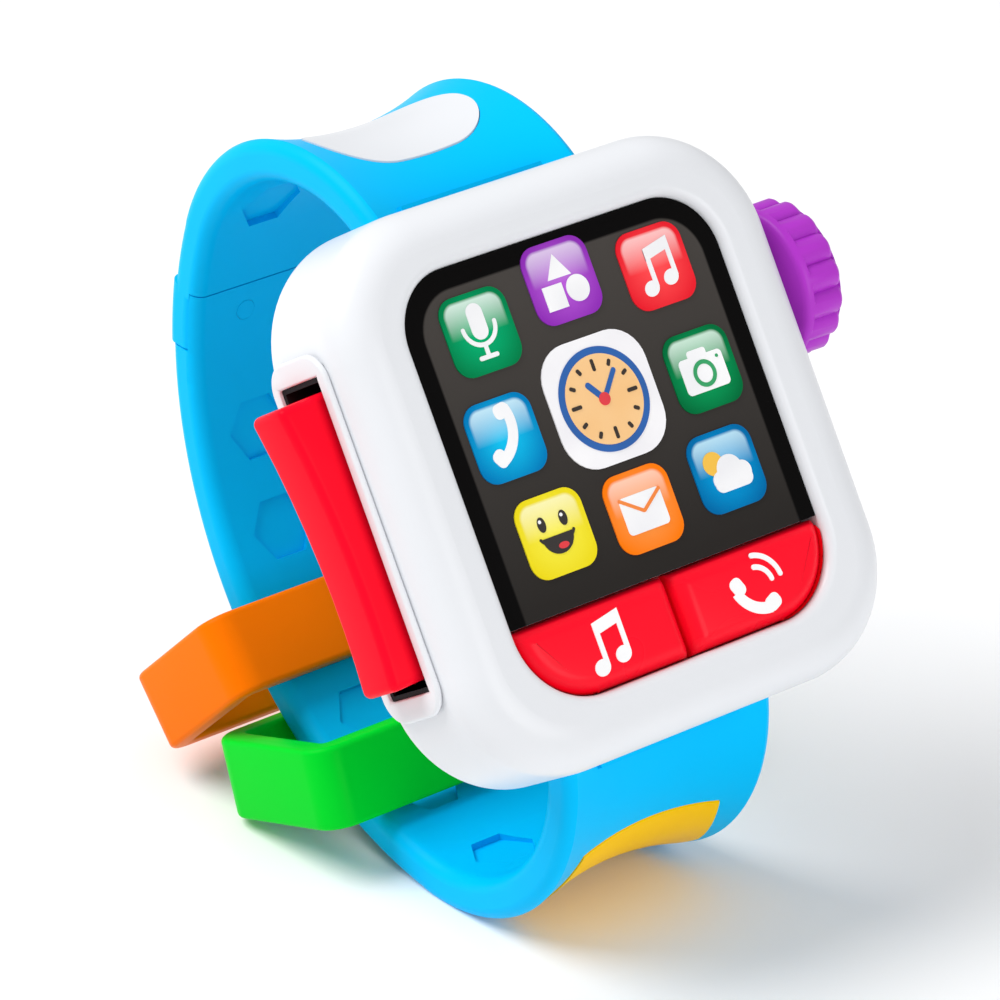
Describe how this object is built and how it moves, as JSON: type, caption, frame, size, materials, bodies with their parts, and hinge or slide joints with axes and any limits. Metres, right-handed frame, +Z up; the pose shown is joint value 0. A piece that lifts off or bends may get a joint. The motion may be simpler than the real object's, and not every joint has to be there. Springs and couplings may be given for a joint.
{
  "type": "toy watch",
  "caption": "Chunky toy watch with a soft-edged case, picture screen, push buttons, side rocker, ribbed crown and a closed strap loop carrying loose ring tags.",
  "frame": {"origin": "on the floor under the lowest point of the strap, in the mid plane of the strap", "axes": "+Z up, +X to the right seen from the front, the face looks towards -Y and leans back towards +Y"},
  "size_m": [0.0899, 0.0993, 0.1044],
  "materials": {
    "case_white": "gloss",
    "screen_black": "gloss",
    "card_print": "matte",
    "button_red": "gloss",
    "dome_rubber": "matte",
    "board_green": "matte",
    "lamp_clear": "gloss",
    "chip_black": "matte",
    "speaker_grey": "matte",
    "cell_jacket": "satin",
    "bare_steel": "satin",
    "crown_purple": "satin",
    "ratchet_ivory": "matte",
    "strap_blue": "satin",
    "label_white": "satin",
    "patch_yellow": "satin",
    "tag_green": "satin",
    "tag_orange": "satin"
  },
  "bodies": {
    "watch": {"front_case": "case_white", "back_case": "case_white", "screen_window": "screen_black", "screen_card": "card_print", "button_domes": "dome_rubber", "circuit_board": "board_green", "screen_lamp": "lamp_clear", "sound_chip": "chip_black", "speaker": "speaker_grey", "battery_cells": "cell_jacket", "battery_contacts": "bare_steel", "battery_door": "case_white", "door_screw": "bare_steel", "case_screws": "bare_steel", "rocker_frame": "case_white", "rocker_pin": "bare_steel", "switch_well": "chip_black", "power_switch": "speaker_grey", "click_leaf": "bare_steel", "strap_upper": "strap_blue", "strap_lower": "strap_blue", "strap_studs": "strap_blue", "strap_screws": "bare_steel", "strap_label": "label_white", "strap_patch": "patch_yellow"},
    "left_button": {"left_button": "button_red"},
    "right_button": {"right_button": "button_red"},
    "rocker": {"power_rocker": "button_red"},
    "crown": {"crown_knob": "crown_purple", "crown_shaft": "bare_steel", "crown_ratchet": "ratchet_ivory"},
    "green_tag": {"green_tag": "tag_green"},
    "orange_tag": {"orange_tag": "tag_orange"}
  },
  "joints": [
    {"name": "left_button_press", "type": "slide", "parent": "watch", "child": "left_button", "axis": [0, 0.848, -0.5299], "range_m": [0, 0.0012], "stiffness_N_per_m": 300, "springref_m": -0.001},
    {"name": "right_button_press", "type": "slide", "parent": "watch", "child": "right_button", "axis": [0, 0.848, -0.5299], "range_m": [0, 0.0012], "stiffness_N_per_m": 300, "springref_m": -0.001},
    {"name": "rocker_tilt", "type": "hinge", "parent": "watch", "child": "rocker", "pos_m": [-0.0336, -0.00963, 0.06657], "axis": [0, -0.848, 0.5299], "range_deg": [-6, 0]},
    {"name": "crown_turn", "type": "hinge", "parent": "watch", "child": "crown", "pos_m": [0.0365, -0.0017, 0.07813], "axis": [1, 0, 0], "continuous": true},
    {"name": "green_tag_slide", "type": "hinge", "parent": "watch", "child": "green_tag", "pos_m": [0, -0.00276, 0.06228], "axis": [1, 0, 0], "range_deg": [0, 26]},
    {"name": "orange_tag_slide", "type": "hinge", "parent": "green_tag", "child": "orange_tag", "pos_m": [0, -0.00276, 0.06228], "axis": [1, 0, 0], "range_deg": [0, 26]}
  ]
}
